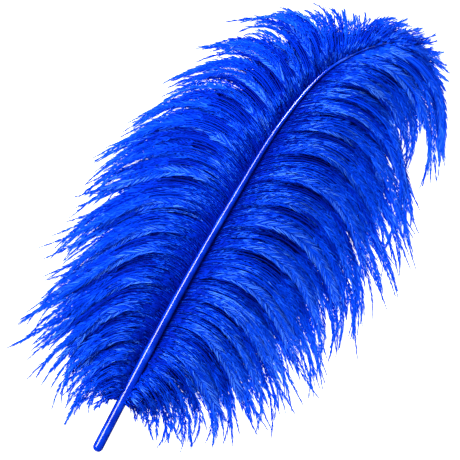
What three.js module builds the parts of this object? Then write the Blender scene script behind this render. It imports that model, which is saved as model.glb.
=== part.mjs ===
// A dyed ostrich plume lying face up on a flat surface, in millimetres, +Z up.
// +Y runs from the quill's round end towards the tip, and +X is to the right of the shaft.
// The shaft bows to the left and curls right at its tip. A soft vane hangs from each side of it:
// a thin arched sheet that takes the place of the loose barbs, from their roots to their tips.
// The origin is under the middle of the plume, on the surface that it lies on.
import * as THREE from "three";

// The spine: x, y and height of the shaft's axis, and on past its tip the parting of the vanes.
const spineLine = [
  [0.4, -2.6, 3.6],
  [-10.2, 67.2, 10.5],
  [-19.6, 134.4, 16.5],
  [-27.1, 202, 20.5],
  [-32, 269.6, 21.5],
  [-27.4, 318, 18],
  [-12, 350, 13.5],
  [0, 362.6, 11],
  [15, 369, 8.5],
  [32, 367, 6],
  [46, 358.5, 4.5],
  [57, 349, 4],
];

// The shaft is one tapered rod of keratin, its lowest stretch the bare quill.
const shaftLength = 379;
const quillRadius = 3.8;
const tipRadius = 0.3;
const taperPower = 1.5;
const shaftSteps = 48;
const shaftSides = 14;
const endRings = 4;

// Each vane: where it starts along the spine, and the line that its barbs' tips reach.
const vaneStart = 41;
const leftHem = [
  [-30, 17],
  [-64, 19],
  [-94, 38],
  [-103, 78],
  [-116, 120],
  [-121, 165],
  [-119, 205],
  [-112, 245],
  [-104, 283],
  [-90, 320],
  [-62, 348],
  [-30, 369],
  [2, 379],
  [32, 374],
  [58, 351.5],
];
const rightHem = [
  [20, 29],
  [48, 41],
  [72, 66],
  [89, 100],
  [96, 135],
  [102, 178],
  [100, 215],
  [96, 248],
  [85, 277],
  [79, 300],
  [77, 320],
  [69, 336],
  [57.5, 347.8],
];
const rootGap = 0.6; // between a vane's root and the shaft
const partingGap = 0.3; // from the parting's middle to each vane
const rootThickness = 4.2;
const hemThickness = 3;
const archRise = 8; // how far a vane rises above a straight slope to the surface
const slopeStart = 0.06; // shares of a vane's width: where it starts to come down
const landing = 0.74; // and where it lies on the surface
const alongSteps = 44;
const acrossSteps = 12;

const featherBlue = new THREE.MeshStandardMaterial({ color: 0x0a3fe0, roughness: 0.75 });
const quillBlue = new THREE.MeshStandardMaterial({ color: 0x0a2fc0, roughness: 0.25 });

const up = new THREE.Vector3(0, 0, 1);

function curveThrough(points) {
  const places = points.map(([x, y, z = 0]) => new THREE.Vector3(x, y, z));
  return new THREE.CatmullRomCurve3(places, false, "centripetal");
}

function shaftRadius(along) {
  const share = THREE.MathUtils.clamp(along / shaftLength, 0, 1);
  return THREE.MathUtils.lerp(quillRadius, tipRadius, share ** taperPower);
}

// A place on the spine, with its direction and the level direction to its right.
function spineAt(spine, along) {
  const share = THREE.MathUtils.clamp(along / spine.getLength(), 0, 1);
  const forward = spine.getTangentAt(share);
  const right = forward.clone().cross(up).normalize();
  return { place: spine.getPointAt(share), forward, right };
}

// A rod turned on a straight axis with a round end, then bent along the spine.
function shaftGeometry(spine) {
  const profile = [new THREE.Vector2(0, 0)];
  for (let i = 1; i <= endRings; i += 1) {
    const turn = (i / endRings) * (Math.PI / 2);
    const along = quillRadius * (1 - Math.cos(turn));
    profile.push(new THREE.Vector2(shaftRadius(along) * Math.sin(turn), along));
  }
  for (let i = 1; i <= shaftSteps; i += 1) {
    const along = THREE.MathUtils.lerp(quillRadius, shaftLength - tipRadius, i / shaftSteps);
    profile.push(new THREE.Vector2(shaftRadius(along), along));
  }
  profile.push(new THREE.Vector2(0, shaftLength));
  const geometry = new THREE.LatheGeometry(profile, shaftSides);

  const position = geometry.getAttribute("position");
  for (let i = 0; i < position.count; i += 1) {
    const { place, forward, right } = spineAt(spine, position.getY(i));
    const over = right.clone().cross(forward);
    place.addScaledVector(right, position.getX(i)).addScaledVector(over, position.getZ(i));
    position.setXYZ(i, place.x, place.y, place.z);
  }
  return geometry;
}

// A place on a vane's root, beside the shaft or the parting. side is -1 on the left, 1 on the right.
function rootPoint(spine, share, side) {
  const along = THREE.MathUtils.lerp(vaneStart, spine.getLength(), share);
  const past = THREE.MathUtils.smoothstep(along, shaftLength, spine.getLength());
  const gap = THREE.MathUtils.lerp(shaftRadius(along) + rootGap, partingGap, past);
  const { place, right } = spineAt(spine, along);
  return place.addScaledVector(right, side * gap);
}

// Height of a vane's lower and upper face, across being 0 at the root and 1 at the hem.
function vaneHeights(rootHeight, across) {
  const rootLift = Math.max(rootHeight - rootThickness, 0);
  const slope = 1 - THREE.MathUtils.smoothstep(across, slopeStart, landing);
  const arch = Math.sin(Math.PI * Math.min(across / landing, 1)) ** 2;
  const lower = across < landing ? rootLift * slope + archRise * arch : 0;
  return [lower, lower + THREE.MathUtils.lerp(rootThickness, hemThickness, across)];
}

// A closed sheet: lines run across it from the root to the hem, on an upper and a lower face.
function vaneGeometry(spine, hemLine, side) {
  const hem = curveThrough(hemLine);
  const lowerPlaces = [];
  const upperPlaces = [];
  for (let i = 0; i <= alongSteps; i += 1) {
    const from = rootPoint(spine, i / alongSteps, side);
    const to = hem.getPointAt(i / alongSteps);
    for (let j = 0; j <= acrossSteps; j += 1) {
      const across = j / acrossSteps;
      const place = from.clone().lerp(to, across);
      const [lower, upper] = vaneHeights(from.z, across);
      lowerPlaces.push(place.x, place.y, lower);
      upperPlaces.push(place.x, place.y, upper);
    }
  }

  const columns = acrossSteps + 1;
  const layer = (alongSteps + 1) * columns;
  const lowerAt = (i, j) => i * columns + j;
  const upperAt = (i, j) => layer + i * columns + j;
  const corners = [];
  function quad(a, b, c, d) {
    corners.push(a, b, c, a, c, d);
  }
  for (let i = 0; i < alongSteps; i += 1) {
    for (let j = 0; j < acrossSteps; j += 1) {
      quad(upperAt(i, j), upperAt(i, j + 1), upperAt(i + 1, j + 1), upperAt(i + 1, j));
      quad(lowerAt(i, j), lowerAt(i + 1, j), lowerAt(i + 1, j + 1), lowerAt(i, j + 1));
    }
    quad(lowerAt(i, 0), upperAt(i, 0), upperAt(i + 1, 0), lowerAt(i + 1, 0));
    const [near, far] = [acrossSteps + i * columns, acrossSteps + (i + 1) * columns];
    quad(far, layer + far, layer + near, near);
  }
  for (let j = 0; j < acrossSteps; j += 1) {
    quad(lowerAt(0, j), lowerAt(0, j + 1), upperAt(0, j + 1), upperAt(0, j));
    const [near, far] = [lowerAt(alongSteps, j), lowerAt(alongSteps, j + 1)];
    quad(far, near, layer + near, layer + far);
  }
  if (side < 0) corners.reverse();
  const geometry = new THREE.BufferGeometry();
  const places = new THREE.Float32BufferAttribute([...lowerPlaces, ...upperPlaces], 3);
  geometry.setAttribute("position", places);
  geometry.setIndex(corners);
  geometry.computeVertexNormals();
  return geometry;
}

function namedMesh(name, geometry, material) {
  const mesh = new THREE.Mesh(geometry, material);
  mesh.name = name;
  return mesh;
}

const spine = curveThrough(spineLine);
const feather = new THREE.Group();
feather.add(namedMesh("shaft", shaftGeometry(spine), quillBlue));
feather.add(namedMesh("left_vane", vaneGeometry(spine, leftHem, -1), featherBlue));
feather.add(namedMesh("right_vane", vaneGeometry(spine, rightHem, 1), featherBlue));

// The origin goes under the middle of the whole, at its lowest point.
const box = new THREE.Box3().setFromObject(feather);
const middle = box.getCenter(new THREE.Vector3());
feather.position.set(-middle.x, -middle.y, -box.min.z);

export default feather;
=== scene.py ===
import math
import bpy
import numpy as np
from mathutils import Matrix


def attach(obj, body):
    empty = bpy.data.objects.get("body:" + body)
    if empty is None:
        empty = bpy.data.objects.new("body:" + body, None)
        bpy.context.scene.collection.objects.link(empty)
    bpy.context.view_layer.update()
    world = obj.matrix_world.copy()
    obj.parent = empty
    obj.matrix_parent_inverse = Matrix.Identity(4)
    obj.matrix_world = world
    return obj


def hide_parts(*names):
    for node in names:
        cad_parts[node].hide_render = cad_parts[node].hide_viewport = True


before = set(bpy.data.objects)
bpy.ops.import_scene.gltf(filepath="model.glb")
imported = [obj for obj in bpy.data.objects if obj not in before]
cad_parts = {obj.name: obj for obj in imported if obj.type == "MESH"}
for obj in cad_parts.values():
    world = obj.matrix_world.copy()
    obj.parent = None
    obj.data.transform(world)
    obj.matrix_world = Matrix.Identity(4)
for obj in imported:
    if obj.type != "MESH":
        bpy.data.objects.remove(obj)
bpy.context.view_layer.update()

# Drawing units are millimetres from the quill's end, as in the solids. The frame's origin is here.
originMm = np.array([-9.4953, 188.2826, 0.0])
rng = np.random.default_rng(11)


def toRow(points):
    return (np.asarray(points, float) - originMm) / 1000


def smoothStep(x, low, high):
    s = np.clip((x - low) / (high - low), 0, 1)
    return s * s * (3 - 2 * s)


def unit(vectors):
    return vectors / np.maximum(np.linalg.norm(vectors, axis=-1), 1e-6)[..., None]


# sRGB hex to the linear colour that a socket takes
def hexColour(code):
    parts = [int(code[i:i + 2], 16) / 255 for i in (1, 3, 5)]
    return tuple(c / 12.92 if c < 0.04045 else ((c + 0.055) / 1.055) ** 2.4 for c in parts) + (1.0,)


def addNode(tree, kind, settings=None, links=None):
    node = tree.nodes.new(kind)
    for key, value in (settings or {}).items():
        if isinstance(key, int) or key in node.inputs:
            node.inputs[key].default_value = value
        else:
            setattr(node, key, value)
    for key, socket in (links or {}).items():
        tree.links.new(socket, node.inputs[key])
    return node


def newMaterial(name):
    material = bpy.data.materials.new(name)
    material.use_nodes = True
    material.node_tree.nodes.clear()
    return material, material.node_tree


def setRamp(node, stops):
    ramp = node.color_ramp
    while len(ramp.elements) < len(stops):
        ramp.elements.new(0.5)
    for element, (place, colour) in zip(ramp.elements, stops):
        element.position = place
        element.color = hexColour(colour)


# A mesh from arrays, points in metres, with the UV map that its material reads.
def makePiece(name, points, triangles, uv, material, node, slot):
    mesh = bpy.data.meshes.new(name)
    mesh.vertices.add(len(points))
    mesh.vertices.foreach_set("co", np.ascontiguousarray(points, np.float32).ravel())
    mesh.loops.add(triangles.size)
    mesh.loops.foreach_set("vertex_index", np.ascontiguousarray(triangles, np.int32).ravel())
    mesh.polygons.add(len(triangles))
    mesh.polygons.foreach_set("loop_start", np.arange(0, triangles.size, 3, dtype=np.int32))
    mesh.polygons.foreach_set("use_smooth", np.ones(len(triangles), bool))
    mesh.update(calc_edges=True)
    layer = mesh.uv_layers.new(name="OFBake")
    layer.uv.foreach_set("vector", np.ascontiguousarray(uv[triangles.ravel()], np.float32).ravel())
    mesh.validate()
    piece = bpy.data.objects.new(name, mesh)
    bpy.context.scene.collection.objects.link(piece)
    mesh.materials.append(material)
    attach(piece, "root")
    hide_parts(node)
    print(name, len(triangles), "triangles")


# The curve that the solids follow: centripetal Catmull-Rom.
def curveThrough(points, steps=40):
    p = np.asarray(points, float)
    p = np.vstack([2 * p[0] - p[1], p, 2 * p[-1] - p[-2]])
    t = np.linspace(0, 1, steps, endpoint=False)[:, None]
    runs = []
    for a, b, c, d in zip(p[:-3], p[1:-2], p[2:-1], p[3:]):
        k0, k1, k2 = (np.linalg.norm(v - u) ** 0.5 for u, v in ((a, b), (b, c), (c, d)))
        m1 = ((b - a) / k0 - (c - a) / (k0 + k1) + (c - b) / k1) * k1
        m2 = ((c - b) / k1 - (d - b) / (k1 + k2) + (d - c) / k2) * k1
        square = 3 * (c - b) - 2 * m1 - m2
        cube = 2 * (b - c) + m1 + m2
        runs.append(b + m1 * t + square * t ** 2 + cube * t ** 3)
    line = np.vstack(runs + [p[-2:-1]])
    along = np.concatenate([[0], np.cumsum(np.linalg.norm(np.diff(line, axis=0), axis=1))])
    return line, along


spineLine, spineAlong = curveThrough([
    (0.4, -2.6, 3.6), (-10.2, 67.2, 10.5), (-19.6, 134.4, 16.5), (-27.1, 202, 20.5),
    (-32, 269.6, 21.5), (-27.4, 318, 18), (-12, 350, 13.5), (0, 362.6, 11),
    (15, 369, 8.5), (32, 367, 6), (46, 358.5, 4.5), (57, 349, 4),
])
quillEnd = 2.6  # the curve starts this far below the quill's end
headingStep = 1.5  # to either side of a place, where its heading is taken


def spineAt(along):
    return np.stack([np.interp(along, spineAlong, spineLine[:, k]) for k in range(3)], -1)


def spineHeading(along):
    step = spineAt(along + headingStep) - spineAt(along - headingStep)
    return np.degrees(np.arctan2(step[..., 1], step[..., 0]))


# Straight down on the plume, turned so that the shaft runs from lower left to upper right.
# The frame's width is measured at a level a little above the surface. Metres and degrees, and the
# sensor in mm.
view = {
    "middle": (-0.0066, -0.0045), "height": 1.6, "frameWidth": 0.3312, "frameLevel": 0.01,
    "roll": 36.3, "sensor": 36, "reach": 50,
}

cameraData = bpy.data.cameras.new("camera")
cameraData.sensor_width = view["sensor"]
cameraData.lens = view["sensor"] * (view["height"] - view["frameLevel"]) / view["frameWidth"]
cameraData.clip_end = view["reach"]
camera = bpy.data.objects.new("camera", cameraData)
camera.location = (*view["middle"], view["height"])
camera.rotation_euler = (0, 0, math.radians(view["roll"]))
bpy.context.scene.collection.objects.link(camera)
bpy.context.scene.camera = camera

# Turn and height in degrees, sizes and distances in metres, power in watts. The strip lies along
# the shaft, and draws the bright line down it.
lights = {
    "key": {"turn": 150, "height": 50, "distance": 0.9, "size": (0.3, 0.3), "power": 4.8},
    "strip": {"turn": 186.8, "height": 51, "distance": 0.9, "size": (1.2, 0.36), "power": 12.2},
}
surround = {"sky": 0.5, "floorColour": "#F7F7F8", "floorGlow": 1.0, "floorEdge": 3}


# A lamp that faces the frame's origin.
def placeLight(name, light):
    lamp = bpy.data.lights.new(name, "AREA")
    lamp.shape = "RECTANGLE"
    lamp.size, lamp.size_y = light["size"]
    lamp.energy = light["power"]
    holder = bpy.data.objects.new(name, lamp)
    a, h = math.radians(light["turn"]), math.radians(light["height"])
    direction = np.array([math.cos(a) * math.cos(h), math.sin(a) * math.cos(h), math.sin(h)])
    holder.location = direction * light["distance"]
    holder.rotation_euler = (math.pi / 2 - h, 0, a + math.pi / 2)
    bpy.context.scene.collection.objects.link(holder)


for name, light in lights.items():
    placeLight(name, light)

world = bpy.data.worlds.new("studio")
bpy.context.scene.world = world
world.use_nodes = True
background = world.node_tree.nodes["Background"]
background.inputs["Color"].default_value = (1, 1, 1, 1)
background.inputs["Strength"].default_value = surround["sky"]
world.cycles_visibility.glossy = False  # the lamps alone draw highlights
bpy.context.scene.view_settings.view_transform = "Standard"


# Matt white paper, lit a little from within so that it stays clean beneath the barbs.
def paperMaterial():
    material, tree = newMaterial("white_paper")
    grain = addNode(tree, "ShaderNodeTexNoise", {"Scale": 900.0, "Detail": 3.0})
    bump = addNode(tree, "ShaderNodeBump", {"Strength": 0.03, "Distance": 0.0002},
                   {"Height": grain.outputs["Fac"]})
    shader = addNode(tree, "ShaderNodeBsdfPrincipled", {
        "Base Color": hexColour(surround["floorColour"]),
        "Roughness": 0.9, "Specular IOR Level": 0.1,
        "Emission Color": (1, 1, 1, 1), "Emission Strength": surround["floorGlow"],
    }, {"Normal": bump.outputs["Normal"]})
    addNode(tree, "ShaderNodeOutputMaterial", None, {"Surface": shader.outputs["BSDF"]})
    return material


floorMesh = bpy.data.meshes.new("floor")
edge = surround["floorEdge"]
floorCorners = [(-edge, -edge, 0), (edge, -edge, 0), (edge, edge, 0), (-edge, edge, 0)]
floorMesh.from_pydata(floorCorners, [], [(0, 1, 2, 3)])
floor = bpy.data.objects.new("floor", floorMesh)
floorMesh.materials.append(paperMaterial())
bpy.context.scene.collection.objects.link(floor)
floor.visible_glossy = False
print("camera, light and floor ready")

# The shaft: bare quill at its lower end, then the rachis that carries the barbs.
shaft = {
    "length": 379.0, "quillRadius": 3.8, "tipRadius": 0.3, "taper": 1.5,
    "sides": 40, "ringStep": 1.5, "capRings": 12, "capStart": 0.08, "capGap": 0.6, "tipGap": 0.5,
    "grooveDepth": 0.22, "grooveFrom": 40.0, "grooveFade": 30, "grooveSharpness": 6,
    "shade": "#00054A", "deep": "#001A9A", "middle": "#002BC0", "bright": "#0440DC",
    "pale": "#4A70E6",
}


def shaftRadius(along):
    quill, tip = shaft["quillRadius"], shaft["tipRadius"]
    share = np.clip(np.asarray(along, float) / shaft["length"], 0, 1)
    return quill + (tip - quill) * share ** shaft["taper"]


def shaftShape():
    length, sides = shaft["length"], shaft["sides"]
    turns = np.linspace(shaft["capStart"], math.pi / 2, shaft["capRings"])
    cap = shaft["quillRadius"] * (1 - np.cos(turns))
    body = np.arange(cap[-1] + shaft["capGap"], length - shaft["tipGap"], shaft["ringStep"])
    rings = np.concatenate([cap, body])
    radius = shaftRadius(rings)
    radius[:len(cap)] *= np.sin(turns)
    angle = np.linspace(0, 2 * math.pi, sides, endpoint=False)
    centre = spineAt(rings)
    forward = unit(spineAt(rings + 0.5) - spineAt(rings - 0.5))
    right = unit(np.cross(forward, (0, 0, 1)))
    over = np.cross(right, forward)
    # rounded on top, with a shallow groove along the underside
    under = np.clip(-np.sin(angle), 0, 1) ** shaft["grooveSharpness"]
    grooveFrom = shaft["grooveFrom"]
    grooved = smoothStep(rings, grooveFrom, grooveFrom + shaft["grooveFade"])[:, None]
    reach = radius[:, None] * (1 - shaft["grooveDepth"] * grooved * under)
    points = (centre[:, None] + right[:, None] * (np.cos(angle) * reach)[..., None]
              + over[:, None] * (np.sin(angle) * reach)[..., None])
    count = len(rings)
    ends = np.stack([spineAt(np.array(0.0)), spineAt(np.array(length))])
    vertices = np.vstack([points.reshape(-1, 3), ends])
    i, j = np.meshgrid(np.arange(count - 1), np.arange(sides), indexing="ij")
    a, b = i * sides + j, i * sides + (j + 1) % sides
    tube = np.concatenate([np.stack([a, b, b + sides], -1).reshape(-1, 3),
                           np.stack([a, b + sides, a + sides], -1).reshape(-1, 3)])
    j = np.arange(sides)
    start, last = count * sides, (count - 1) * sides
    low = np.stack([np.full(sides, start), (j + 1) % sides, j], -1)
    high = np.stack([np.full(sides, start + 1), last + j, last + (j + 1) % sides], -1)
    around = np.tile(angle / (2 * math.pi), count)
    uv = np.stack([np.concatenate([np.repeat(rings / length, sides), [0, 1]]),
                   np.concatenate([around, [0.5, 0.5]])], -1)
    return toRow(vertices), np.concatenate([tube, low, high]), uv


# Keratin, dyed through and polished by growth: a deep clear blue under a hard gloss, with fine
# lengthwise striations that only just break the highlight.
def keratinMaterial():
    material, tree = newMaterial("dyed_keratin")
    place = addNode(tree, "ShaderNodeTexCoord")
    around = addNode(tree, "ShaderNodeUVMap", {"uv_map": "OFBake"})
    # striations 0.3 mm apart around the shaft and 20 mm long
    stretch = addNode(tree, "ShaderNodeMapping", {"Scale": (19.0, 80.0, 1.0)},
                      {"Vector": around.outputs["UV"]})
    streaks = addNode(tree, "ShaderNodeTexNoise", {"Scale": 1.0, "Detail": 2.0},
                      {"Vector": stretch.outputs["Vector"]})
    cloud = addNode(tree, "ShaderNodeTexNoise", {"Scale": 60.0, "Detail": 2.0},
                    {"Vector": place.outputs["Object"]})
    both = addNode(tree, "ShaderNodeMath", {"operation": "MULTIPLY_ADD", 1: 0.35},
                   {0: streaks.outputs["Fac"], 2: cloud.outputs["Fac"]})
    # V is 0.25 along the top; painted shade darkens both sides of the rod
    turn = addNode(tree, "ShaderNodeSeparateXYZ", None, {"Vector": around.outputs["UV"]})
    fromTop = addNode(tree, "ShaderNodeMath", {"operation": "SUBTRACT", 1: 0.25},
                      {0: turn.outputs["Y"]})
    aside = addNode(tree, "ShaderNodeMath", {"operation": "ABSOLUTE"},
                    {0: fromTop.outputs["Value"]})
    sides = addNode(tree, "ShaderNodeMapRange", {
        "From Min": 0.12, "From Max": 0.22, "To Min": 0.0, "To Max": -0.6,
        "interpolation_type": "SMOOTHSTEP",
    }, {"Value": aside.outputs["Value"]})
    tone = addNode(tree, "ShaderNodeMath", {"operation": "ADD"},
                   {0: both.outputs["Value"], 1: sides.outputs["Result"]})
    # painted highlight: the thin tip is made paler, where the strip's highlight doesn't reach
    tip = addNode(tree, "ShaderNodeMapRange", {
        "From Min": 0.84, "From Max": 0.93, "To Min": 0.0, "To Max": 0.3,
        "interpolation_type": "SMOOTHSTEP",
    }, {"Value": turn.outputs["X"]})
    toneWithPaintedLight = addNode(tree, "ShaderNodeMath", {"operation": "ADD"},
                    {0: tone.outputs["Value"], 1: tip.outputs["Result"]})
    ramp = addNode(tree, "ShaderNodeValToRGB", None, {"Fac": toneWithPaintedLight.outputs["Value"]})
    setRamp(ramp, [(0.1, shaft["shade"]), (0.4, shaft["deep"]), (0.66, shaft["middle"]),
                   (0.85, shaft["bright"]), (1.0, shaft["pale"])])
    bump = addNode(tree, "ShaderNodeBump", {"Strength": 0.05, "Distance": 0.00003},
                   {"Height": streaks.outputs["Fac"]})
    shader = addNode(tree, "ShaderNodeBsdfPrincipled", {
        "Roughness": 0.5, "IOR": 1.55, "Specular IOR Level": 0.0,
        "Coat Weight": 1.0, "Coat IOR": 1.9, "Coat Roughness": 0.11,
    }, {"Base Color": ramp.outputs["Color"], "Normal": bump.outputs["Normal"]})
    addNode(tree, "ShaderNodeOutputMaterial", None, {"Surface": shader.outputs["BSDF"]})
    return material


makePiece("shaft_rod", *shaftShape(), keratinMaterial(), "shaft", "shaft")

# How the barbs lie. Each row: distance along the shaft, barb length, and the barb's heading in
# degrees at seven shares of its length.
headingShares = np.array([0.05, 0.2, 0.35, 0.5, 0.65, 0.8, 0.95])
leftFlow = np.array([
    (36, 27, 181, 220, 242, 252, 257, 261, 265),
    (58, 59, 178, 216, 241, 254, 262, 267, 273),
    (79, 84, 176, 213, 239, 254, 263, 267, 272),
    (101, 106, 176, 211, 238, 254, 259, 261, 262),
    (122, 123, 174, 209, 237, 252, 254, 252, 249),
    (144, 130, 171, 205, 233, 248, 251, 248, 242),
    (166, 130, 170, 201, 225, 242, 248, 246, 240),
    (187, 123, 167, 193, 214, 231, 241, 243, 240),
    (209, 111, 162, 181, 199, 215, 229, 237, 240),
    (230, 97, 156, 169, 183, 199, 216, 228, 236),
    (252, 87, 150, 159, 170, 186, 205, 220, 226),
    (274, 80, 146, 151, 160, 176, 198, 216, 222),
    (295, 75, 144, 147, 153, 166, 184, 202, 216),
    (310, 70, 143, 145, 151, 162, 179, 197, 214),
    (320, 64, 143, 141, 146, 156, 172, 191, 210),
    (330, 56, 128, 126, 129, 137, 152, 174, 198),
    (336, 50, 116, 114, 115, 119, 128, 146, 172),
    (340, 46, 106, 103, 100, 97, 95, 97, 104),
    (344, 46, 99, 96, 92, 86, 77, 66, 54),
    (350, 47, 92, 90, 84, 76, 64, 50, 36),
    (360, 50, 82, 76, 66, 54, 40, 24, 8),
    (370, 52, 66, 60, 48, 34, 18, 2, -12),
    (378, 56, 52, 44, 30, 16, 0, -14, -26),
    (391, 68, 38, 28, 14, -2, -20, -40, -62),
], float)
rightFlow = np.array([
    (36, 27, 376, 343, 329, 324, 321, 321, 322),
    (58, 56, 384, 359, 342, 333, 326, 321, 317),
    (79, 82, 391, 369, 350, 338, 330, 324, 319),
    (101, 106, 399, 375, 353, 339, 332, 328, 326),
    (122, 125, 405, 381, 358, 341, 333, 330, 331),
    (144, 134, 411, 389, 367, 347, 335, 331, 330),
    (166, 137, 415, 396, 374, 352, 337, 330, 325),
    (187, 143, 416, 398, 376, 352, 336, 327, 322),
    (209, 148, 416, 398, 374, 348, 334, 329, 327),
    (230, 146, 415, 398, 374, 349, 336, 333, 335),
    (252, 136, 413, 399, 378, 354, 340, 336, 336),
    (274, 125, 411, 399, 381, 359, 342, 335, 330),
    (295, 112, 407, 395, 378, 357, 339, 328, 323),
    (317, 108, 402, 387, 370, 351, 333, 320, 314),
    (338, 112, 396, 379, 361, 342, 325, 312, 302),
    (360, 100, 384, 370, 353, 337, 322, 308, 296),
    (377, 92, 392, 384, 370, 354, 338, 322, 308),
    (391, 76, 396, 387, 373, 357, 341, 326, 314),
], float)
# The line that the barbs' tips reach on each side, tuft by tuft, with a parting in the right one
# where the fan at the tip begins.
leftHem = [
    (-17, 24), (-22, 25), (-33, 11), (-45, 24), (-50, 14), (-55, 28), (-61, 23), (-64, 27),
    (-68, 23), (-72, 33), (-79, 29), (-80, 44), (-93, 27), (-87, 57), (-93, 52), (-98, 59),
    (-93, 76), (-99, 75), (-97, 87), (-102, 100), (-108, 95), (-109, 102), (-119, 96),
    (-106, 126), (-111, 127), (-112, 141), (-118, 138), (-112, 165), (-122, 160), (-116, 178),
    (-122, 176), (-122, 179), (-110, 205), (-120, 197), (-116, 214), (-119, 213), (-111, 227),
    (-112, 232), (-117, 232), (-107, 246), (-106, 252), (-113, 253), (-104, 267), (-101, 283),
    (-105, 284), (-98, 293), (-100, 296), (-88, 307), (-92, 309), (-89, 315), (-99, 312),
    (-99, 315), (-77, 332), (-79, 335), (-61, 345), (-54, 355), (-40, 358), (-12, 378), (6, 381),
    (30, 375), (56, 349),
]
rightHem = [
    (14, 31), (9, 34), (34, 35), (38, 38), (45, 37), (46, 43), (51, 44), (54, 48), (52, 55),
    (58, 58), (62, 60), (71, 58), (69, 70), (76, 73), (79, 76), (75, 84), (80, 86), (80, 94),
    (91, 95), (84, 106), (90, 112), (86, 118), (88, 120), (87, 127), (94, 127), (94, 133),
    (99, 135), (90, 147), (96, 153), (90, 160), (90, 166), (94, 168), (92, 175), (104, 173),
    (96, 186), (96, 193), (93, 204), (101, 207), (93, 216), (92, 223), (100, 227), (88, 244),
    (99, 249), (83, 261), (78, 268), (85, 269), (80, 276), (89, 287), (76, 282), (62, 294),
    (45, 304), (47, 307), (62, 303), (60, 311), (69, 310), (75, 303), (79, 309), (76, 322),
    (67, 335), (56, 346),
]
# "steps" is how many points a barb's line has, "stretch" how far it is drawn and "longest" how far
# it may reach, both as shares of the row's length, and "overshoot" how far past the outline, in mm.
# Waves, bends and hooks set in between two such shares, and the tip's curl from the last one on.
vane = {
    "start": 38.0, "end": 391.0, "shaftEnd": 378.5, "steps": 48,
    "stretch": 1.5, "longest": 1.25, "overshoot": 12,
    "waves": (0, 0.1), "bends": (0.35, 1.1), "hooks": (0.75, 1.1), "tipCurl": 0.7,
    "rise": 8.0, "landing": 0.8, "sink": 1.2, "rootDip": 0.7, "tipHeight": 1.6, "lowest": 0.5,
}
outline = np.vstack([curveThrough([(x, y, 0) for x, y in hem], 3)[0][::turn, :2]
                     for hem, turn in ((leftHem, 1), (rightHem, -1))])


def isInside(points, polygon):
    x, y = points[..., 0], points[..., 1]
    inside = np.zeros(x.shape, bool)
    for (x1, y1), (x2, y2) in zip(polygon, np.roll(polygon, -1, axis=0)):
        if y1 != y2:
            inside ^= ((y1 > y) != (y2 > y)) & (x < (x2 - x1) * (y - y1) / (y2 - y1) + x1)
    return inside


# Which way, and how strongly, each barb's end turns of its own: mostly towards the quill.
def ownTurn(side, roots, heads):
    turning = np.clip((heads[:, -1] - heads[:, 3]) / 30, -1, 1)
    turning = np.where(np.abs(turning) < 0.5, -0.5 * side, turning)
    # higher up they run straight on, and in the fan over the shaft's tip they peel outwards
    if side > 0:
        return turning * (1 - 1.4 * smoothStep(roots, 320, 345))
    return turning * (1 - 0.5 * smoothStep(roots, 190, 230) - 0.9 * smoothStep(roots, 345, 365))


# Quick and slow waves in a barb's heading, in mm along it from its root.
def headingWaves(distance):
    n = len(distance)
    short, slow = rng.uniform(2.6, 4.2, (n, 1)), rng.uniform(8, 14, (n, 1))
    return (np.sin(distance / short + rng.uniform(0, 6.28, (n, 1)))
            + 0.8 * np.sin(distance / slow + rng.uniform(0, 6.28, (n, 1))))


# How long each barb is: it stops where it leaves the outline, or near its usual length.
def barbLengths(lines, usual, reach, step):
    out = ~isInside(lines, outline)
    out[:, :8] = False  # the roots lie under the shaft
    out[:, :-2] &= out[:, 1:-1] & out[:, 2:]  # a barb may cross the narrow notch between two tufts
    leaves = np.where(out.any(1), out.argmax(1), vane["steps"] - 1) * step[:, 0]
    length = np.minimum(leaves, usual * vane["longest"]) * reach
    return np.minimum(length, leaves + vane["overshoot"])


# The lines' places at these distances from their roots, counted in steps.
def placesAlong(lines, along):
    low = np.clip(along.astype(int), 0, lines.shape[1] - 2)
    part = (along - low)[..., None]
    rows = np.arange(len(lines))[:, None]
    return lines[rows, low] * (1 - part) + lines[rows, low + 1] * part


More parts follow.
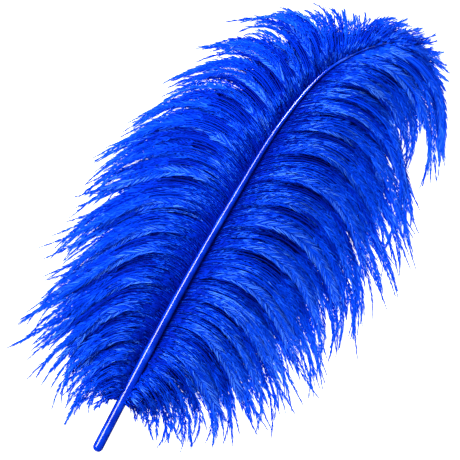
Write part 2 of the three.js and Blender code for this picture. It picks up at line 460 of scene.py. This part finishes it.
# Centre lines of the barbs that grow at these places along the shaft. A bend above 0 curls a barb's
# outer half towards the quill, and a hook curls its end further the way that it already turns.
def growBarbs(side, roots, reach, wobble, bend, tipCurl=0.0, hook=0.0):
    table = leftFlow if side < 0 else rightFlow
    n, steps = len(roots), vane["steps"]
    t = np.linspace(0, 1, steps)
    usual = np.interp(roots, table[:, 0], table[:, 1])
    heads = np.stack([np.interp(roots, table[:, 0], column) for column in table[:, 2:].T], -1)
    turning = ownTurn(side, roots, heads)
    first = spineHeading(roots + quillEnd) + (360 if side > 0 else 0) - side * 30
    shares = np.concatenate([[0], headingShares, [1]])
    heads = np.concatenate([first[:, None], heads, heads[:, -1:]], 1)
    far = t * vane["stretch"]
    heading = np.stack([np.interp(far, shares, h) for h in heads])
    heading += wobble * headingWaves(usual[:, None] * far) * smoothStep(far, *vane["waves"])
    heading -= side * bend[:, None] * smoothStep(far, *vane["bends"])
    heading += hook * turning[:, None] * smoothStep(far, *vane["hooks"])
    heading = np.radians(heading)
    step = (usual * vane["stretch"] / (steps - 1))[:, None]
    moves = np.stack([np.cos(heading), np.sin(heading)], -1)
    moves = (moves[:, 1:] + moves[:, :-1]) / 2 * step[..., None]
    base = spineAt(np.minimum(roots, vane["shaftEnd"]) + quillEnd)[:, :2]
    lines = np.concatenate([base[:, None], base[:, None] + np.cumsum(moves, 1)], 1)
    length = barbLengths(lines, usual, reach, step)
    lines = placesAlong(lines, t[None] * length[:, None] / step)
    # the last stretch curls further round, each in its own way
    ahead = unit(lines[:, -1] - lines[:, -6])
    aside = np.stack([-ahead[:, 1], ahead[:, 0]], -1)[:, None]
    free = 0.9 - 0.5 * (smoothStep(roots, 320, 350) if side > 0 else smoothStep(roots, 190, 230))
    curl = tipCurl * (turning + free * rng.normal(0, 1, n))[:, None, None]
    curlFrom = vane["tipCurl"]
    curl = curl * (np.clip(t - curlFrom, 0, 1) / (1 - curlFrom))[None, :, None] ** 2
    return lines + aside * curl, length


# Places along the shaft so close that neither the roots nor the tips stand further apart than this.
def spreadRoots(side, rootGap, tipGap, loose=0.3):
    rootStep, smoothing = 0.5, 15
    dense = np.arange(vane["start"], vane["end"], rootStep)
    still = np.zeros(len(dense))
    lines, _ = growBarbs(side, dense, still + 1, 0.0, still)
    window = np.ones(2 * smoothing + 1) / (2 * smoothing + 1)
    tips = np.stack([np.convolve(np.pad(lines[:, -1, k], smoothing, "edge"), window, "valid")
                     for k in range(2)], -1)
    tipStep = np.linalg.norm(np.diff(tips, axis=0), axis=1)
    measure = np.concatenate([[0], np.cumsum(np.maximum(rootStep / rootGap, tipStep / tipGap))])
    count = int(measure[-1])
    places = np.arange(count) + rng.uniform(0.5 - loose, 0.5 + loose, count)
    return np.interp(places, measure, dense)


# Height of the vane's face above the surface, along each barb.
def faceHeight(roots, lift):
    t = np.linspace(0, 1, vane["steps"])[None]
    rootZ = spineAt(roots + quillEnd)[:, 2][:, None]
    slope = 1 - smoothStep(t, 0.06, vane["landing"])
    arch = vane["rise"] * np.sin(math.pi * np.clip(t / vane["landing"], 0, 1)) ** 2
    dip = -vane["rootDip"] * np.exp(-((t - 0.04) / 0.04) ** 2)
    z = (rootZ - vane["sink"]) * slope + arch * smoothStep(t, 0, 0.3)
    z = z + vane["tipHeight"] * (1 - slope) + dip
    z = z + lift * smoothStep(t, 0.02, 0.25) * (1 - 0.7 * smoothStep(t, 0.6, 1))
    return np.maximum(z, vane["lowest"])


def sampleLines(lines, which, share):
    at = np.clip(share, 0, 1) * (lines.shape[1] - 1)
    low = np.clip(at.astype(int), 0, lines.shape[1] - 2)
    part = (at - low)[:, None]
    here = lines[which, low] * (1 - part) + lines[which, low + 1] * part
    return here, unit(lines[which, low + 1] - lines[which, low])


upwards = np.array([0, 0, 1.0])
lowestStrand = 0.15  # mm above the surface
mapEdge = 0.02  # every UV keeps this far from the map's border


# How many barbules a barb has on each side, and how they thin out along it as the density says.
def crowding(length, look):
    begin = look.get("begin", 0.0)
    shares = np.linspace(begin, 1, 65)
    density = np.interp(shares, look["shares"], look.get("density", [1] * len(look["shares"])))
    filled = np.concatenate([[0], np.cumsum((density[1:] + density[:-1]) / 2)])
    counts = np.maximum((length * (1 - begin) * density.mean() / look["pitch"]).astype(int), 3)
    return counts, filled, shares


def profile(look, key, share):
    return np.interp(share, look["shares"], look[key])


# Hair-shaped barbules along both sides of each barb, bent forward in one or two places.
def barbules(side, lines, length, look, tone, scale=None):
    turns = look.get("turns", (1.0, 0.55))
    parts = len(turns)
    joints = np.linspace(0, 1, parts + 1) ** 1.4
    counts, filled, shares = crowding(length, look)
    which = np.repeat(np.arange(len(lines)), counts)
    order = np.arange(len(which)) - np.repeat(np.cumsum(counts) - counts, counts)
    n = len(which)
    corners, shades = [], []
    for hand in (-1, 1):
        stagger = rng.uniform(-0.5, 0.5, n) * look.get("stagger", 1.0)
        share = np.interp((order + 0.5 + stagger) / counts[which] * filled[-1], filled, shares)
        here, ahead = sampleLines(lines, which, share)
        across = unit(np.stack([-ahead[:, 1], ahead[:, 0], np.zeros(n)], -1) * hand)
        size = profile(look, "lengths", share) * rng.uniform(0.7, 1.15, n)
        opening = profile(look, "angles", share) + rng.normal(0, look["scatter"], n)
        if hand == side and "tipward" in look:
            size, opening = size * look["tipward"][0], opening * look["tipward"][1]
        if scale is not None:
            size, opening = size * scale[which], opening * scale[which] ** 0.6
        opening = np.radians(opening)
        width = profile(look, "widths", share) * rng.uniform(0.75, 1.25, n)
        # most strands dark, a few paler ones a little higher
        mood = np.minimum(rng.exponential(1, n), 2.6) - 0.8
        free = 0.3 + 0.7 * smoothStep(share, 0.04, 0.3)
        lift = look["fluff"] * (mood + rng.normal(0, 0.5, n)) * free
        places = [here]
        for k, turn in enumerate(turns):
            way = ahead * np.cos(opening * turn)[:, None] + across * np.sin(opening * turn)[:, None]
            rise = lift * (0.9 if k == 0 else 0.1) - look["droop"] * k / parts
            span = size * (joints[k + 1] - joints[k])
            places.append(places[-1] + way * span[:, None] + upwards * rise[:, None])
        chord = unit(places[-1] - here)
        flat = unit(np.cross(chord, upwards))
        roll = rng.normal(0, look["roll"], n)[:, None]
        half = (flat * np.cos(roll) + np.cross(flat, chord) * np.sin(roll)) * (width / 2)[:, None]
        leaf = [here]
        for k in range(1, parts):
            narrow = 1 - 0.3 * (k - 1)
            leaf += [places[k] - half * narrow, places[k] + half * narrow]
        corners.append(np.stack(leaf + [places[-1]], 1))
        shades.append(tone(which, share) + look["speckle"] * mood)
    return leafMesh(np.concatenate(corners), np.concatenate(shades), joints)


# Slender leaves of triangles: each has its root, two corners at every bend, and its tip.
def leafMesh(corners, shade, joints):
    n, each = corners.shape[:2]
    corners[..., 2] = np.maximum(corners[..., 2], lowestStrand)
    faces = [(0, 2, 1)]
    for k in range(1, each - 3, 2):
        faces += [(k, k + 1, k + 2), (k + 1, k + 3, k + 2)]
    faces.append((each - 3, each - 2, each - 1))
    triangles = (np.arange(n)[:, None, None] * each + np.array(faces)[None]).reshape(-1, 3)
    bends = joints[1:-1]
    lengthwise = [mapEdge] + [x for x in bends for _ in range(2)] + [1 - mapEdge]
    sideways = np.array([0] + [-0.006, 0.006] * len(bends) + [0])
    shade = np.clip(shade, mapEdge, 1 - mapEdge)
    uv = np.stack([np.tile(lengthwise, n), (shade[:, None] + sideways).ravel()], -1)
    return corners.reshape(-1, 3), triangles, uv


# The barb's own stalk, a three-sided tapering thread.
def stalks(lines, thickness, tone, taper=0.5):
    n, steps = len(lines), 17
    lines = lines[:, np.linspace(0, lines.shape[1] - 1, steps).astype(int)]
    ahead = unit(np.gradient(lines, axis=1))
    across = unit(np.stack([-ahead[..., 1], ahead[..., 0], np.zeros(ahead.shape[:2])], -1))
    radius = thickness / 2 * np.linspace(1, taper, steps)[None, :, None]
    ridge = lines + upwards * radius * 1.4
    corners = [lines + across * radius, lines - across * radius, ridge]
    points = np.stack(corners, 2).reshape(-1, 3)
    points[:, 2] = np.maximum(points[:, 2], lowestStrand)
    i, j, c = np.meshgrid(np.arange(n), np.arange(steps - 1), np.arange(3), indexing="ij")
    a = (i * steps + j) * 3 + c
    b = (i * steps + j) * 3 + (c + 1) % 3
    triangles = np.concatenate([np.stack([a, b, b + 3], -1).reshape(-1, 3),
                                np.stack([a, b + 3, a + 3], -1).reshape(-1, 3)])
    shares = np.linspace(mapEdge, 1 - mapEdge, steps)
    shade = tone(np.repeat(np.arange(n), steps), np.tile(shares, n))
    shade = np.clip(shade, mapEdge, 1 - mapEdge)
    uv = np.stack([np.repeat(np.tile(shares, n), 3),
                   (shade[:, None] + np.array([-0.005, 0.005, 0])).ravel()], -1)
    return points, triangles, uv


def joined(parts):
    points, triangles, uv, base = [], [], [], 0
    for p, t, u in parts:
        points.append(p)
        triangles.append(t + base)
        uv.append(u)
        base += len(p)
    return np.concatenate(points), np.concatenate(triangles), np.concatenate(uv)


# Ostrich down, dyed royal blue in a bath: soft and matt. The colour holds painted light: navy where
# strands lie deep is painted shade, and the palest tones, on the raised plumes, are painted sheen.
# The UV map's V is that tone, and U runs root to tip.
downColours = [(0.0, "#000A78"), (0.2, "#001AA2"), (0.4, "#002FCA"), (0.6, "#0546E4"),
               (0.8, "#1B5CF0"), (1.0, "#4683F8")]


def downMaterial():
    material, tree = newMaterial("dyed_ostrich_down")
    strand = addNode(tree, "ShaderNodeUVMap", {"uv_map": "OFBake"})
    parts = addNode(tree, "ShaderNodeSeparateXYZ", None, {"Vector": strand.outputs["UV"]})
    # painted shade: each strand is darker at its root than at its tip
    paintedRootShade = addNode(tree, "ShaderNodeMapRange", {"To Min": -0.1, "To Max": 0.06},
                        {"Value": parts.outputs["X"]})
    tone = addNode(tree, "ShaderNodeMath", {"operation": "ADD"},
                   {0: parts.outputs["Y"], 1: paintedRootShade.outputs["Result"]})
    ramp = addNode(tree, "ShaderNodeValToRGB", None, {"Fac": tone.outputs["Value"]})
    setRamp(ramp, downColours)
    shader = addNode(tree, "ShaderNodeBsdfPrincipled", {
        "Roughness": 0.5, "IOR": 1.55, "Specular IOR Level": 0.01,
    }, {"Base Color": ramp.outputs["Color"]})
    addNode(tree, "ShaderNodeOutputMaterial", None, {"Surface": shader.outputs["BSDF"]})
    return material


down = downMaterial()

# In the dictionaries below, lengths and widths are in mm, and each list of them goes with "shares",
# the places from 0 at a barb's root to 1 at its tip.

# Raised plumes that lie over the rest. The face falls into a hollow on the quill's side of each,
# and climbs again towards the next.
plumes = {
    "lift": 5.0, "reach": (0.74, 0.94), "wobble": 1.6, "bend": 4.0, "curl": 3.0, "sparse": 0.1,
    "pitch": 2.1, "shares": [0, 0.12, 0.25, 0.45, 0.7, 0.9, 1],
    "lengths": [3, 4.5, 7.5, 9.5, 9, 6.5, 2.5], "angles": [10, 14, 20, 26, 27, 23, 15],
    "widths": [0.45, 0.5, 0.58, 0.63, 0.63, 0.6, 0.5], "stagger": 0.5, "scatter": 2.5,
    "fluff": 0.3, "droop": 0.6, "roll": 0.3, "turns": (1.1, 0.95, 0.7), "tipward": (1.35, 0.85),
    "speckle": 0.12, "uneven": 0.04, "stalk": 0.4, "stalkShade": 0.4,
}
# where each plume stands along the shaft, and its size
leftPlumes = [(45, 0.55), (56, 0.6), (67, 0.75), (81, 0.7), (103, 0.95), (123, 1), (145, 1),
              (161, 0.9), (180, 1), (200, 1), (210, 0.5), (227, 1), (238, 0.85), (252, 0.9),
              (265, 1), (283, 1.05), (296, 1), (310, 1), (321, 0.95), (333, 0.9), (351, 0.85),
              (366, 0.75)]
rightPlumes = [(43.5, 0.6), (51, 0.6), (58.5, 0.6), (67.5, 0.8), (75, 0.6), (82.5, 1.05),
               (100.5, 1), (110.5, 0.75), (120.5, 0.85), (137.5, 1.1), (159.5, 1), (177.5, 1.1),
               (195.5, 1), (214.5, 1), (237.5, 1), (258.5, 1), (274.5, 0.75), (288.5, 0.6),
               (307.5, 0.9), (332.5, 1.1), (344.5, 0.55), (356.5, 0.5), (368.5, 0.7)]
plumeRows = {-1: np.array(leftPlumes, float).T, 1: np.array(rightPlumes, float).T}
# the plume's darker strands, which its pale ones lie on, darkened by painted shade
plumeBed = {**plumes, "pitch": 0.85, "widths": [0.55, 0.6, 0.7, 0.75, 0.7, 0.6, 0.5],
            "speckle": 0.06, "stagger": 1.0, "turns": (1.0, 0.7), "shade": 0.42}
# The tone from 0 for navy to 1 for the palest, root to tip: the dye's own, with painted light in
# it.
# A number for each side, -1 for left, where the two sides differ. Painted shades are added near the
# root, where the vane is deep, and the plumes' pale tones are painted sheen.
dyeAndPaintedLight = {
    "shares": [0, 0.3, 0.6, 1], "tones": [0.56, 0.56, 0.58, 0.64], "thinVane": 0.07,
    "rootShares": [0, 0.05, 0.14, 0.3],
    "rootShades": {-1: [-0.52, -0.34, -0.15, -0.04], 1: [-0.35, -0.28, -0.15, -0.04]},
    "plumeShares": [0, 0.08, 0.25, 0.6, 1], "plumeTones": [0.54, 0.62, 0.8, 0.95, 0.84],
    "plumeRootShares": [0, 0.08, 0.25], "plumeRootShades": [-0.32, -0.2, 0], "smallPlumeShade": 0.4,
}
# places between two plumes, from under the one nearer the tip to the top of the other, with the
# painted shadow of the hollow in their tones and the face's real drop in their heights
hollows = {
    "places": [0, 0.16, 0.34, 0.55, 0.8, 1],
    "tones": {-1: [-0.3, -0.38, -0.34, -0.16, 0.0, 0.1],
              1: [-0.36, -0.42, -0.34, -0.05, 0.14, 0.22]},
    "heights": [-3.0, -3.2, -2.4, -0.8, 0.8, 1.6],
    "endGap": 20,
}
# Barbs cling together in tufts that end in a point.
tufts = {"rootGap": 7.5, "tipGap": 7.5, "loose": 0.35, "pull": (0.0, 0.35), "bend": 3.0,
         "reach": 0.04, "longest": 1.2, "wobble": 1.0}
looseFrom = {-1: (215, 260), 1: (310, 350)}  # where the barbs come to stand loosest on each side
# The barbs that make the vane's face.
face = {
    "rootGap": 2.1, "tipGap": 2.7, "reach": (0.68, 0.96), "wobble": 2.2, "bend": 2.5, "curl": 2.0,
    "point": 0.08, "sparse": 0.26, "lifts": (-1, 1),
    "pitch": 0.75, "shares": [0, 0.1, 0.22, 0.45, 0.7, 0.88, 1],
    "density": [1, 1, 1, 1, 0.8, 0.6, 0.5],
    "lengths": [2.8, 3.6, 5.0, 7.5, 8.5, 7.0, 2.0], "angles": [9, 11, 14, 18, 17, 13, 8],
    "widths": [0.55, 0.6, 0.65, 0.72, 0.8, 0.8, 0.5],
    "scatter": 3.0, "fluff": 0.5, "droop": 0.4, "roll": 0.3, "speckle": 0.21,
    "uneven": 0.1, "banding": 1.0, "shift": 0.0, "stalk": 0.6, "stalkShade": 0.28,
}
# The outer half of the longest barbs. Their barbules lie close and thin out to a fine hooked point.
fringe = {
    "rootGap": 3.2, "tipGap": 2.25, "reach": (0.86, 1.1), "wobble": 0.8, "bend": 4.0, "curl": 5.5,
    "hook": 16.0, "point": 0.05, "sparse": -0.02, "lifts": (-1.5, 0.5),
    "pitch": 3.8, "begin": 0.45, "shares": [0.45, 0.7, 0.85, 0.94, 1],
    "density": [1, 1, 1, 1.1, 1.2],
    "lengths": [10, 10, 8, 5, 2], "angles": [14, 14, 12, 8, 4],
    "widths": [0.75, 0.75, 0.7, 0.6, 0.45], "stagger": 0.8, "turns": (1.2, 0.9, 0.7),
    "scatter": 3.5, "fluff": 0.25, "droop": 0.1, "roll": 0.2, "speckle": 0.1,
    "uneven": 0.05, "banding": 0.5, "shift": 0.03,
    "stalk": 1.2, "stalkShade": 0.06, "stalkTaper": 0.55,
}
# short hairs along the same stalks
teeth = {**fringe, "pitch": 3.6, "lengths": [4.5, 4.5, 4.5, 3.5, 1.5], "angles": [25, 25, 16, 8, 4],
         "widths": [0.75, 0.7, 0.6, 0.5, 0.4], "turns": (1.0, 0.8)}
# one leading barb for each tuft
leaders = {**fringe, "reach": (1.04, 1.22), "point": 0.0, "curl": 6.5}
# The underdown, which closes the depth of the vane, its tone shifted darker as painted shade.
under = {
    "rootGap": 2.3, "tipGap": 2.9, "reach": (0.6, 0.84), "wobble": 3.0, "bend": 3.0,
    "point": 0.1, "sparse": 0.26, "lift": -3.2,
    "pitch": 0.9, "shares": [0, 0.1, 0.25, 0.5, 0.8, 1], "density": [1, 1, 1, 1, 0.8, 0.5],
    "lengths": [5, 7, 9, 9, 8, 5], "angles": [12, 18, 24, 26, 22, 16],
    "widths": [1.3, 1.4, 1.8, 2.0, 1.5, 0.9],
    "scatter": 6.0, "fluff": 0.5, "droop": 0.5, "roll": 0.2, "speckle": 0.05,
    "uneven": 0.02, "banding": 0.3, "shift": -0.3, "stalk": 0.35,
}
# and more of it close to the shaft
rootDown = {**under, "rootGap": 1.7, "tipGap": 9.0, "reach": (0.3, 0.5), "lift": -2.6,
            "lengths": [4, 5, 6, 7, 7, 6], "angles": [10, 13, 18, 20, 20, 20], "pitch": 1.1,
            "shift": -0.26}


# How deep the vane is: it is thinner towards either end of the shaft, with less painted shade at
# its roots.
def depthAt(roots):
    return (1 - 0.8 * smoothStep(roots, 290, 350)) * (0.6 + 0.4 * smoothStep(roots, 45, 85))


# How far the hollow between plumes, and its painted shadow, shows at a share of a barb's length.
def inHollow(share):
    return smoothStep(share, 0.16, 0.38) * (1 - smoothStep(share, 0.68, 0.94))


def darker(tone, shade):
    return lambda which, share: tone(which, share) - shade


# The tufts of one side: where each is rooted, its own line, and how it draws its barbs to itself.
def growTufts(side):
    roots = spreadRoots(side, tufts["rootGap"], tufts["tipGap"], tufts["loose"])
    count = len(roots)
    tuft = {"roots": roots, "half": np.maximum(np.gradient(roots), 0.5) / 2}
    tuft["pull"] = rng.uniform(*tufts["pull"], count)
    tuft["reach"] = rng.normal(0, tufts["reach"], count)
    tuft["bend"] = rng.normal(0, tufts["bend"], count)
    tuft["lines"], tuft["length"] = growBarbs(side, roots, np.full(count, tufts["longest"]),
                                              tufts["wobble"], tuft["bend"], 0.0, fringe["hook"])
    return tuft


# From 0 under a plume to 1 on top of the next one towards the quill.
def betweenPlumes(side, roots):
    plumeRoots = plumeRows[side][0]
    k = np.searchsorted(plumeRoots, roots)
    upper = np.append(plumeRoots, plumeRoots[-1] + hollows["endGap"])[k]
    lower = np.insert(plumeRoots, 0, plumeRoots[0] - hollows["endGap"])[k]
    return (upper - roots) / (upper - lower)


# Draw each barb towards its tuft's own line, measured at the same distance from the root.
def gather(lines, length, tuft, nearest):
    last = lines.shape[1] - 1
    t = np.linspace(0, 1, last + 1)[None]
    share = np.clip(t * (length / tuft["length"][nearest])[:, None], 0, 1)
    guide = placesAlong(tuft["lines"][nearest], share * last)
    pull = (tuft["pull"][nearest][:, None] * smoothStep(share, 0.35, 0.95))[..., None]
    return lines * (1 - pull) + guide * pull


# The barbs' lines with their heights, their lengths, and where each stands between two plumes.
def lay(side, tuft, roots, look, lift, hollowed=True):
    n = len(roots)
    reach = rng.uniform(*look["reach"], n)
    bend = rng.normal(0, look["bend"], n)
    # the barbs stand loosest around the curve of the shaft, and near the quill
    loosest = smoothStep(roots, *looseFrom[side])
    loosest = np.maximum(loosest, 1 - smoothStep(roots, 45, 95))
    uneven = rng.uniform(0, 0.1, n) + rng.uniform(0, 0.14, n) * smoothStep(roots, 325, 360)
    reach = reach * (1 - loosest * (look["sparse"] + uneven))
    nearest = np.abs(roots[:, None] - tuft["roots"][None]).argmin(1)
    tufted = "point" in look
    if tufted:
        away = np.clip(np.abs(roots - tuft["roots"][nearest]) / tuft["half"][nearest], 0, 1)
        reach = reach * (1 + tuft["reach"][nearest]) * (1 - look["point"] * away ** 1.5)
        bend = bend + tuft["bend"][nearest]
    lines, length = growBarbs(side, roots, reach, look["wobble"], bend,
                              look.get("curl", 0), look.get("hook", 0))
    if tufted:
        lines = gather(lines, length, tuft, nearest)
    place = np.clip(betweenPlumes(side, roots) + rng.normal(0, 0.05, n), 0, 1)
    hollow = inHollow(np.linspace(0, 1, vane["steps"]))
    drop = np.interp(place, hollows["places"], hollows["heights"])[:, None] * hollow[None]
    z = faceHeight(roots, lift + (drop if hollowed else 0))
    return np.concatenate([lines, z[..., None]], -1), length, place


# The tone at a share of a barb's length, with the shade of the hollow that it lies in.
def faceTone(side, roots, place, look):
    own = rng.normal(0, look["uneven"], len(roots))
    depth = depthAt(roots)

    def tone(which, share):
        base = np.interp(share, dyeAndPaintedLight["shares"], dyeAndPaintedLight["tones"])
        base = base + dyeAndPaintedLight["thinVane"] * (1 - depth[which])
        base = base + depth[which] * np.interp(share, dyeAndPaintedLight["rootShares"], dyeAndPaintedLight["rootShades"][side])
        shade = np.interp(place[which], hollows["places"], hollows["tones"][side])
        shade = shade * inHollow(share)
        return base + own[which] + look["banding"] * shade + look["shift"] * depth[which]
    return tone


def growUnderdown(side, tuft):
    roots = spreadRoots(side, under["rootGap"], under["tipGap"])
    lines, length, place = lay(side, tuft, roots, under, under["lift"])
    tone = faceTone(side, roots, place, under)
    parts = [barbules(side, lines, length, under, tone), stalks(lines, under["stalk"], tone)]
    roots = spreadRoots(side, rootDown["rootGap"], rootDown["tipGap"])
    lines, length, place = lay(side, tuft, roots, rootDown, rootDown["lift"])
    tone = faceTone(side, roots, place, rootDown)
    return parts + [barbules(side, lines, length, rootDown, tone)]


stalkClear = np.array([0, 0, 0.4])  # a stalk lies this far above its barbules


def growFace(side, tuft):
    roots = spreadRoots(side, face["rootGap"], face["tipGap"])
    lift = rng.uniform(*face["lifts"], (len(roots), 1))
    lines, length, place = lay(side, tuft, roots, face, lift)
    tone = faceTone(side, roots, place, face)
    depth = depthAt(roots)

    def stalkTone(which, share):
        return tone(which, share) - face["stalkShade"] * depth[which]

    return [barbules(side, lines, length, face, tone),
            stalks(lines + stalkClear, face["stalk"], stalkTone)]


def growFringe(side, tuft):
    parts = []
    for roots, look in ((spreadRoots(side, fringe["rootGap"], fringe["tipGap"]), fringe),
                        (tuft["roots"], leaders)):
        lift = rng.uniform(*look["lifts"], (len(roots), 1))
        lines, length, place = lay(side, tuft, roots, look, lift)
        tone = faceTone(side, roots, place, look)
        stalkTone = darker(tone, look["stalkShade"])
        parts += [barbules(side, lines, length, look, tone),
                  stalks(lines, look["stalk"], stalkTone, look["stalkTaper"]),
                  barbules(side, lines, length, teeth, tone)]
    return parts


# The smaller a plume, the lower it lies, and the darker its painted shade.
def growPlumes(side, tuft):
    roots, sizes = plumeRows[side]
    t = np.linspace(0, 1, vane["steps"])[None]
    lift = plumes["lift"] * (2 * sizes[:, None] - 1) + 2 * smoothStep(t, 0.5, 0.8)
    lines, length, _ = lay(side, tuft, roots, plumes, lift, False)
    own = rng.normal(0, plumes["uneven"], len(roots)) - dyeAndPaintedLight["smallPlumeShade"] * (1 - sizes)
    depth = depthAt(roots)

    def tone(which, share):
        base = np.interp(share, dyeAndPaintedLight["plumeShares"], dyeAndPaintedLight["plumeTones"]) + own[which]
        nearRoot = np.interp(share, dyeAndPaintedLight["plumeRootShares"], dyeAndPaintedLight["plumeRootShades"])
        return base + depth[which] * nearRoot

    bedTone = darker(tone, plumeBed["shade"])
    return [barbules(side, lines - stalkClear, length, plumeBed, bedTone, sizes),
            barbules(side, lines, length, plumes, tone, sizes),
            stalks(lines + stalkClear, plumes["stalk"], darker(tone, plumes["stalkShade"]))]


layers = {"underdown": growUnderdown, "barbs": growFace, "fringe": growFringe,
          "plumes": growPlumes}


def growSide(side, name, node):
    tuft = growTufts(side)
    for label, grow in layers.items():
        points, triangles, uv = joined(grow(side, tuft))
        makePiece(f"{name}_{label}", toRow(points), triangles, uv, down, node, "barbs")


growSide(-1, "left", "left_vane")
growSide(1, "right", "right_vane")
print("barbs grown")
